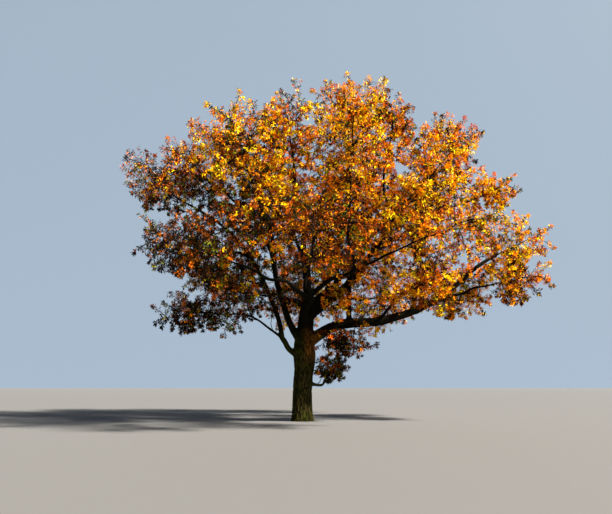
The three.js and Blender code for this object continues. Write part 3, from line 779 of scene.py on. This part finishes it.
def blade_points(root, tip, half_width):
    """Points over a flat pointed blade, close enough together that no limb slips between them."""
    along = np.arange(1, BLADE_ROWS + 1)[:, None] / BLADE_ROWS
    wide = np.minimum(along / SPRAY_WIDEST, (1 - along) / (1 - SPRAY_WIDEST))
    beside = (wide * np.arange(-BLADE_HALF, BLADE_HALF + 1) / BLADE_HALF)[..., None] * half_width
    return (root + (tip - root) * along)[:, None] + beside


def grow_whorl(space, limb, outward, back, turn, opening):
    """Three shoots round a twig, each as long as the room allows."""
    _, normals, binormals = limb.line.frames(limb.rings)
    most = SPRAY_MOST * ellipsoid_reach(space.size, outward)
    for k in range(SPRAYS):
        share = 1 - back - (SPRAY_SUNK + k * SPRAY_STAGGER) / limb.line.length
        if share < LEAST_SHARE:
            continue
        angle = (2 * k + 1) * math.pi / SPRAYS + turn
        along = unit(turned(outward, turned(-binormals[-1], normals[-1], angle), opening))
        across = unit(np.cross(along, outward))
        root = limb.middle(share)
        free = min(most, space.reach(root, along))
        for fit in SPRAY_FITS:
            length = free * fit
            half_width = across * SPRAY_WIDTH / 2 * length
            corners = root + along * SPRAY_WIDEST * length + np.array([half_width, -half_width])
            blade = blade_points(root, root + along * length, half_width)
            fits = length > SHORTEST_SHOOT and space.holds(corners).all()
            if fits and space.clear(blade, SPRAY_THICKNESS * length, limb.name).all():
                yield Shoot(root, along, across, length)
                break


def grow_mass(space, stem, outward, index):
    """The twigs of a mass, its stem first, and the shoots that stand round them."""
    draw = seeded(index + TWIG_SEED)
    twigs, ways, shoots = [stem], [outward], []
    count = TWIGS + 1 if math.prod(space.size) > LARGE else TWIGS
    for even in list(even_directions(count, outward, 2 * math.pi * draw()))[1:-1]:
        stray = np.array([draw() - 0.5 for _ in range(3)])
        way = unit(even + stray * 2 * WANDER)
        reach = TWIG_REACH * (TWIG_LEAST + TWIG_SPREAD * draw()) * space.reach(space.middle, way)
        twig = make_twig(stem, space.middle + way * reach, draw)
        points = twig.line.at_time(np.linspace(0, 1, 9))[3:]
        if space.holds(points).all() and space.clear(points, TWIG_RADIUS, stem.name).all():
            twigs.append(twig)
            ways.append(way)
    for twig, way in zip(twigs, ways):
        for number, (back, opening) in enumerate(WHORLS):
            shoots.extend(grow_whorl(space, twig, way, back, number * GOLDEN, opening))
    return twigs, shoots


def in_crown(point):
    """Whether a point lies in the heart of the crown, over the fork, or in or near a mass."""
    rooms = [(middle, half, 1) for middle, half in HEARTS]
    rooms += [(space.middle, space.half, INNER_STRAY) for space in spaces]
    return any(np.linalg.norm((point - middle) / half) < most for middle, half, most in rooms)


def grow_inner(limb, gap, samples, chance):
    """Twigs off a bough on its way through the crown, and the shoots round their ends."""
    twigs, shoots = [], []
    first = INNER_START / limb.line.length
    last = 1 - INNER_END / limb.line.length
    turn = chance.uniform(0, 2 * math.pi)
    for number, share in enumerate(np.arange(first, last, gap / limb.line.length)):
        root = limb.line.point(share)
        along = limb.line.tangent(share)
        side = sideways(along)
        over = np.cross(along, side)
        spread = turned(side, over, number * GOLDEN + turn)
        way = unit(along * INNER_ALONG + spread * INNER_ASIDE + UP * INNER_UP)
        radius = limb.radius_at(share)
        tip = root + way * (radius + chance.uniform(*INNER_LENGTHS))
        if not in_crown(tip):
            continue
        foot_way = unit(way * INNER_OWN_WAY + along * INNER_BOUGH_WAY)
        line = LimbLine([(root, foot_way), (tip, way)], CROOK, chance.random)
        twig = Limb("inner", line, lambda share: TWIG_TIP_RADIUS * (1 - TWIG_NARROWING * share), 1)
        room = Space(tip, [INNER_ROOM] * 3)
        room.note_limbs(samples)
        points = line.at_time(np.linspace(0, 1, 9))
        beyond = points[np.linalg.norm(points - root, axis=1) > radius + INNER_CLEAR]
        if len(beyond) and room.clear(beyond, TWIG_RADIUS, "inner").all():
            twigs.append(twig)
            for whorl, (back, opening) in enumerate(INNER_WHORLS):
                shoots.extend(grow_whorl(room, twig, way, back, whorl * GOLDEN, opening))
    return twigs, shoots


def grow_side_shoots(shoots, chance):
    """Thin shoots to either side along each shoot, and the shoot's own end: their roots and tips."""
    before, stray, beyond = SIDE_SHOOT_GAPS
    roots, tips, owners = [], [], []
    for number, shoot in enumerate(shoots):
        normal = np.cross(shoot.along, shoot.across)
        count = max(3, round(shoot.length / SIDE_SHOOT_GAP))
        for k in range(count):
            at = (k + before + stray * chance.random()) / (count + beyond)
            wide = min(at / SPRAY_WIDEST, (1 - at) / (1 - SPRAY_WIDEST))
            turn = math.pi * k + chance.normal(0, SIDE_SHOOT_TURN)
            side = turned(shoot.across, normal, turn)
            opening = SIDE_SHOOT_OPEN * (OPEN_MOST - OPEN_LESS * at) + chance.normal(0, SIDE_SHOOT_STRAY)
            way = turned(shoot.along, side, opening)
            length = shoot.length * SPRAY_WIDTH / 2 * (NARROW + WIDER * wide)
            length *= chance.uniform(*SIDE_SHOOT_LENGTHS)
            root = shoot.root + shoot.along * shoot.length * SHOOT_WOOD * at
            roots.append(root)
            tips.append(root + way * max(SIDE_SHOOT_LEAST, length - SIDE_LEAF * LEAF_LENGTH))
            owners.append(number)
        roots.append(shoot.root + shoot.along * shoot.length * SHOOT_WOOD * END_SHOOT)
        tips.append(shoot.root + shoot.along * (shoot.length - END_LEAF * LEAF_LENGTH))
        owners.append(number)
    return np.array(roots), np.array(tips), np.array(owners)


def copies(vertices, faces):
    """The vertices and triangles of many copies of one shape, as rows."""
    count, each = vertices.shape[:2]
    triangles = np.array(faces)[None] + np.arange(count)[:, None, None] * each
    return vertices.reshape(-1, 3), triangles.reshape(-1, 3)


def tube_triangles(points, radii, sides):
    """Closed round tubes, one along each row of points, pointed at both ends."""
    count, rings = points.shape[:2]
    along = units(np.gradient(points, axis=1))
    chord = points[:, -1] - points[:, 0]
    steep = np.abs(chord[:, 2:]) > STEEP * np.linalg.norm(chord, axis=1)[:, None]
    side = np.cross(chord, np.where(steep, [[1.0, 0.0, 0.0]], [[0.0, 0.0, 1.0]]))[:, None]
    side = units(side - (side * along).sum(2)[..., None] * along)
    over = np.cross(along, side)
    angles = np.arange(sides) * 2 * math.pi / sides
    spokes = side[:, :, None] * np.cos(angles)[:, None] + over[:, :, None] * np.sin(angles)[:, None]
    walls = points[:, :, None] + spokes * np.reshape(radii, (-1, rings, 1, 1))
    outward = along[:, [0, -1]] * np.array([[-1.0], [1.0]])
    poles = points[:, [0, -1]] + outward * np.max(radii) * TIP_POINT
    vertices = np.concatenate([walls.reshape(count, -1, 3), poles], axis=1)
    faces = []
    for s in range(sides):
        t = (s + 1) % sides
        faces.append((rings * sides, t, s))
        faces.append((rings * sides + 1, (rings - 1) * sides + s, (rings - 1) * sides + t))
        for r in range(rings - 1):
            a, b, c, d = r * sides + s, r * sides + t, (r + 1) * sides + t, (r + 1) * sides + s
            faces.extend([(a, b, c), (a, c, d)])
    return copies(vertices, faces)


def spike_triangles(roots, tips, radius):
    """Closed three-sided spikes, from a flat root inside the wood to a sharp tip."""
    chord = tips - roots
    side = units(np.cross(chord, UP), TINY)
    over = units(np.cross(side, chord))
    angles = np.arange(3) * 2 * math.pi / 3
    spokes = side[:, None] * np.cos(angles)[:, None] + over[:, None] * np.sin(angles)[:, None]
    girdle = roots[:, None] + spokes * radius
    vertices = np.concatenate([girdle, tips[:, None]], axis=1)
    return copies(vertices, [(0, 1, 2), (1, 0, 3), (2, 1, 3), (0, 2, 3)])


def joined_mesh(name, parts):
    """One mesh of the vertices and triangles of many parts."""
    mesh = bpy.data.meshes.new(name)
    starts = np.cumsum([0] + [len(vertices) for vertices, _ in parts[:-1]])
    vertices = np.concatenate([vertices for vertices, _ in parts])
    triangles = np.concatenate([faces + start for (_, faces), start in zip(parts, starts)])
    mesh.vertices.add(len(vertices))
    mesh.vertices.foreach_set("co", vertices.ravel())
    mesh.loops.add(triangles.size)
    mesh.loops.foreach_set("vertex_index", triangles.ravel())
    mesh.polygons.add(len(triangles))
    mesh.polygons.foreach_set("loop_start", np.arange(0, triangles.size, 3))
    mesh.update()
    mesh.validate()
    return mesh


spaces = [Space(plan.mass, plan.size) for plan in PLANS]
for i, a in enumerate(spaces):
    for b in spaces[i + 1:]:
        way = b.middle - a.middle
        gap = np.linalg.norm(way)
        way /= gap
        reach_a, reach_b = ellipsoid_reach(a.size, way), ellipsoid_reach(b.size, way)
        wall = a.middle + way * gap * reach_a / (reach_a + reach_b)
        a.wall(way, wall)
        b.wall(-way, wall)
stems = [make_stem(limbs[plan.name], space, index)
         for index, (plan, space) in enumerate(zip(PLANS, spaces))]
rows = [limb_samples(limb, -1) for limb in limbs.values()]
rows += [limb_samples(stem, index) for index, (stem, _) in enumerate(stems)]
all_samples = np.concatenate(rows)
for space in spaces:
    space.note_limbs(all_samples)

twig_finish = Finish("twig_bark", Base_Color=TWIG_CORK, Roughness=0.85, Specular_IOR_Level=0.05)
masses = {}
for index, (plan, space, (stem, outward)) in enumerate(zip(PLANS, spaces, stems)):
    twigs, shoots = grow_mass(space, stem, outward, index)
    chance = np.random.default_rng(index)
    roots, tips, owners = grow_side_shoots(shoots, chance)
    kept = space.holds(tips, -TIP_OUTSIDE * LEAF_LENGTH)
    kept &= space.clear(tips, TIP_CLEAR * LEAF_LENGTH, stem.name)
    kept &= chance.random(len(tips)) < SPARSE.get(plan.name, 1)
    masses[plan.name] = (twigs, shoots, roots[kept], tips[kept], owners[kept])

inner = {side: ([], []) for side in SIDES}
for index, plan in enumerate(PLANS):
    gap = DENSE_GAPS.get(plan.name, INNER_GAP)
    chance = np.random.default_rng(index + INNER_SEED)
    twigs, shoots = grow_inner(limbs[plan.name], gap, all_samples, chance)
    inner[side_of(plan.name)][0].extend(twigs)
    inner[side_of(plan.name)][1].extend(shoots)
for index, (side, (twigs, shoots)) in enumerate(inner.items()):
    chance = np.random.default_rng(index + INNER_SHOOT_SEED)
    masses["inner_" + side] = (twigs, shoots, *grow_side_shoots(shoots, chance))

for side in SIDES:
    parts = []
    names = names_on(side)
    for name in [*names, "inner_" + side]:
        twigs, shoots, roots, tips, _ = masses[name]
        if not shoots:
            continue
        for twig in twigs:
            steps = np.linspace(0, 1, TWIG_RINGS)
            radii = np.array([twig.radius_at(share) for share in steps]) * (1 - TWIG_NARROWING * steps)
            parts.append(tube_triangles(twig.line.point(steps)[None], radii, TWIG_SIDES))
        starts = np.array([shoot.root for shoot in shoots])
        ends = starts + np.array([shoot.along * shoot.length * SHOOT_WOOD for shoot in shoots])
        steps = np.linspace(0, 1, len(SHOOT_RADII))[None, :, None]
        lines = starts[:, None] * (1 - steps) + ends[:, None] * steps
        parts.append(tube_triangles(lines, SHOOT_RADII, 3))
        parts.append(spike_triangles(roots, tips, SPIKE_RADIUS))
    mesh = joined_mesh(f"{side}_twigs", parts)
    mesh.materials.append(twig_finish.material)
    piece = add_piece(mesh.name, mesh)
    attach(piece, "root")
    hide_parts(*[name + "_leaves" for name in names])

# The leaves: thin lobed blades, widest past the middle and folded a little along the midrib, which stand
# round the ends of the thin shoots. Their tints are dealt spray by spray, yellow and gold where the
# crown is high and open to the sun, rust and dark russet low down in it: partly the leaves' own autumn
# turning, partly painted light on the tops and painted shade below and inside.
LEAF_OUTLINE = ((0, 0), (1, 0), (0.38, 0.23), (0.58, 0.13), (0.33, -0.1), (0.66, -0.27))
LEAF_FACES = ((0, 3, 2), (0, 1, 3), (0, 4, 1), (4, 5, 1))
LEAF_FOLD = 0.3
LEAF_DROOP = 0.16
LEAF_LENGTHS = (0.75, 1.2)
LEAF_SEED = 500
LEAVES_EACH = 9
LEAF_START, LEAF_RUN = 0.2, 0.85  # the first leaf's place, and how far on the last is
LEAF_OPEN, LEAF_CLOSING = 1.25, 0.5
LEAF_HANG = 0.18
FACE_UP, FACE_OUT, FACE_STRAY = 0.9, 0.5, 0.45
AT_STRAY, TURN_STRAY, OPEN_STRAY = 0.05, 0.3, 0.2
LEAST_ACROSS = 1e-3
SPRAY_LEAVES = 3
OWN_SIDE_SHOOT = 0.4  # the share of side shoots with a tint apart from their shoot's
OWN_SPRAY = 0.3
SUNNY, SHADED = 0.3, -0.7  # of a mass's half height: a lighter deal above as painted light, a darker one below as painted shade
EDGE_STRAY = 0.2
TINTS = {
    "yellow": (1, 0.72, 0.006, 1),
    "gold": (1, 0.45, 0.003, 1),
    "amber": (0.92, 0.27, 0.003, 1),
    "orange": (0.68, 0.14, 0.004, 1),
    "copper": (0.34, 0.07, 0.005, 1),
    "rust": (0.12, 0.03, 0.004, 1),
    "umber": (0.02, 0.01, 0.003, 1),
    "moss": (0.13, 0.14, 0.006, 1),
}
# The umber leaves in every deal, and the darker deals, are partly brown leaves and partly painted shade.
DEALS = {
    "gold_leaves": (16, 13, 6, 4, 3, 3, 9, 5),
    "amber_leaves": (7, 10, 10, 6, 4, 4, 12, 3),
    "rust_leaves": (1, 2.5, 3, 4, 7, 8, 15, 5),
    "russet_leaves": (0.3, 0.5, 0.8, 1.5, 3, 8, 24, 7),
}
# painted shade: on these sides, away from the key, the twigs inside the crown bear the darkest deal
PAINTED_SHADE_SIDES = ("left", "back", "low")


def grow_leaves(roots, tips, chance):
    """Leaves round the outer part of each side shoot, as the bases, frames and lengths of all."""
    all_leaves = (len(roots), LEAVES_EACH)
    step = np.arange(LEAVES_EACH)
    outer = step / (LEAVES_EACH - 1)
    at = np.clip(LEAF_START + LEAF_RUN * outer + chance.normal(0, AT_STRAY, all_leaves), 0, 1)
    way = units(tips - roots)
    side = units(np.cross(way, UP), LEAST_ACROSS)
    over = np.cross(side, way)
    angle = step * GOLDEN + chance.uniform(0, 2 * math.pi, (len(roots), 1))
    angle = angle + chance.normal(0, TURN_STRAY, all_leaves)
    opening = LEAF_OPEN - LEAF_CLOSING * outer + chance.normal(0, OPEN_STRAY, all_leaves)
    spread = side[:, None] * np.cos(angle)[..., None] + over[:, None] * np.sin(angle)[..., None]
    along = way[:, None] * np.cos(opening)[..., None] + spread * np.sin(opening)[..., None]
    along = units(along - UP * LEAF_HANG)
    facing = UP * FACE_UP + way[:, None] * FACE_OUT + chance.normal(0, FACE_STRAY, (*all_leaves, 3))
    across = units(np.cross(facing, along), LEAST_ACROSS)
    normal = np.cross(along, across)
    bases = roots[:, None] + (tips - roots)[:, None] * at[..., None]
    lengths = LEAF_LENGTH * chance.uniform(*LEAF_LENGTHS, all_leaves)
    frames = np.stack([along, across, normal], axis=2).reshape(-1, 3, 3)
    return bases.reshape(-1, 3), frames, lengths.ravel()


def deal_tints(slot, name, places, chance):
    """A tint for each place: in a mass, a lighter deal high up for painted light and a darker one low
    down for painted shade.
    """
    level = np.full(len(places), list(DEALS).index(slot))
    if name in space_of:
        space = space_of[name]
        height = (places[:, 2] - space.middle[2]) / space.half[2]
        height += chance.normal(0, EDGE_STRAY, len(places))
        level = level - (height > SUNNY) + (height < SHADED)
    odds = np.cumsum([np.array(deal) / sum(deal) for deal in DEALS.values()], axis=1)
    steps = odds[np.clip(level, 0, len(odds) - 1), :-1]
    return (chance.random(len(places))[:, None] > steps).sum(1)


outline = np.array(LEAF_OUTLINE, float)
rise = LEAF_FOLD * np.abs(outline[:, 1]) - LEAF_DROOP * outline[:, 0] ** 2
leaf_vertices = np.column_stack([outline, rise])
space_of = {plan.name: space for plan, space in zip(PLANS, spaces)}
leaf_finishes = [Finish(f"{tint}_leaf", Base_Color=colour, Roughness=0.6, Specular_IOR_Level=0.03)
                 for tint, colour in TINTS.items()]
slot_of = {part["node"]: part["material_slot"] for part in frame["record"]["subparts"]}
for side in SIDES:
    # painted shade inside the crown on its shadow sides
    inner_slot = "russet_leaves" if side in PAINTED_SHADE_SIDES else "amber_leaves"
    for slot in DEALS:
        names = [name for name in names_on(side) if slot_of[name + "_leaves"] == slot]
        growing = list(names)
        if slot == inner_slot and masses["inner_" + side][1]:
            growing.append("inner_" + side)
            names = names or names_on(side)
        if not growing:
            continue
        parts, tints = [], []
        for name in growing:
            _, shoots, roots, tips, owners = masses[name]
            chance = np.random.default_rng(list(masses).index(name) + LEAF_SEED)
            bases, leaf_frames, lengths = grow_leaves(roots, tips, chance)
            blades = np.einsum("vi,nij->nvj", leaf_vertices, leaf_frames) * lengths[:, None, None]
            parts.append(copies(bases[:, None] + blades, LEAF_FACES))
            middles = np.array([shoot.root + shoot.along * shoot.length / 2 for shoot in shoots])
            by_shoot = deal_tints(slot, name, middles, chance)[owners]
            apart = chance.random(len(roots)) < OWN_SIDE_SHOOT
            tint = np.where(apart, deal_tints(slot, name, tips, chance), by_shoot)
            tint = np.repeat(tint, LEAVES_EACH // SPRAY_LEAVES)
            places = np.repeat(tips, LEAVES_EACH // SPRAY_LEAVES, axis=0)
            apart = chance.random(len(tint)) < OWN_SPRAY
            tint = np.where(apart, deal_tints(slot, name, places, chance), tint)
            tints.append(np.repeat(tint, SPRAY_LEAVES * len(LEAF_FACES)))
        mesh = joined_mesh(slot.replace("leaves", side + "_leaves"), parts)
        for finish in leaf_finishes:
            mesh.materials.append(finish.material)
        mesh.polygons.foreach_set("material_index", np.concatenate(tints).astype(np.int32))
        piece = add_piece(mesh.name, mesh)
        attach(piece, "root")
        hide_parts(*[name + "_leaves" for name in names])

# The setting: a pale floor, a pale backdrop far behind, a warm key from the right and a little in front,
# a weak fill all round, and the camera low and well back, tilted up at the crown.
STAGE_HALF = 300
FLOOR_COLOUR = (0.13, 0.135, 0.142, 1)
BACKDROP_COLOUR = (0.22, 0.31, 0.45, 1)
BACKDROP_AWAY = 250
FILL_COLOUR = (0.78, 0.87, 1, 1)
FILL_STRENGTH = 0.11
KEY_COLOUR = (1.0, 0.9, 0.76)
KEY_STRENGTH = 14.5
KEY_BREADTH = 5  # degrees, as the way and the tilt below
KEY_WAY = (48, 0, 66)
TILT = 12.87
EYE = (0.16, -24.9, 1.5)
FOCAL, FRAME_WIDTH = 560, 612  # pixels of the photo
SENSOR = 36
FARTHEST = 1000


def stage_plane(name, colour, turn=0, away=0):
    """A wide level plane, turned about X and moved back."""
    bm = bmesh.new()
    bmesh.ops.create_grid(bm, x_segments=1, y_segments=1, size=STAGE_HALF)
    bmesh.ops.rotate(bm, verts=bm.verts, matrix=Matrix.Rotation(turn, 3, "X"))
    bmesh.ops.translate(bm, verts=bm.verts, vec=(0, away, 0))
    mesh = mesh_of(bm, name)
    mesh.materials.append(Finish(name + "_paint", Base_Color=colour, Roughness=0.9).material)
    return add_piece(name, mesh)


floor = stage_plane("floor", FLOOR_COLOUR)
backdrop = stage_plane("backdrop", BACKDROP_COLOUR, math.pi / 2, BACKDROP_AWAY)

world = bpy.data.worlds.new("studio")
world.use_nodes = True
fill = world.node_tree.nodes["Background"].inputs
fill["Color"].default_value = FILL_COLOUR
fill["Strength"].default_value = FILL_STRENGTH
bpy.context.scene.world = world

key = add_piece("key", bpy.data.lights.new("key", "SUN"))
key.data.energy = KEY_STRENGTH
key.data.angle = math.radians(KEY_BREADTH)
key.data.color = KEY_COLOUR
key.rotation_euler = [math.radians(turn) for turn in KEY_WAY]

camera = add_piece("camera", bpy.data.cameras.new("camera"))
camera.data.sensor_width = SENSOR
camera.data.lens = SENSOR * FOCAL / FRAME_WIDTH
camera.data.clip_end = FARTHEST
camera.location = EYE
camera.rotation_euler = (math.radians(90 + TILT), 0, 0)
bpy.context.scene.camera = camera
bpy.context.scene.view_settings.view_transform = "Standard"
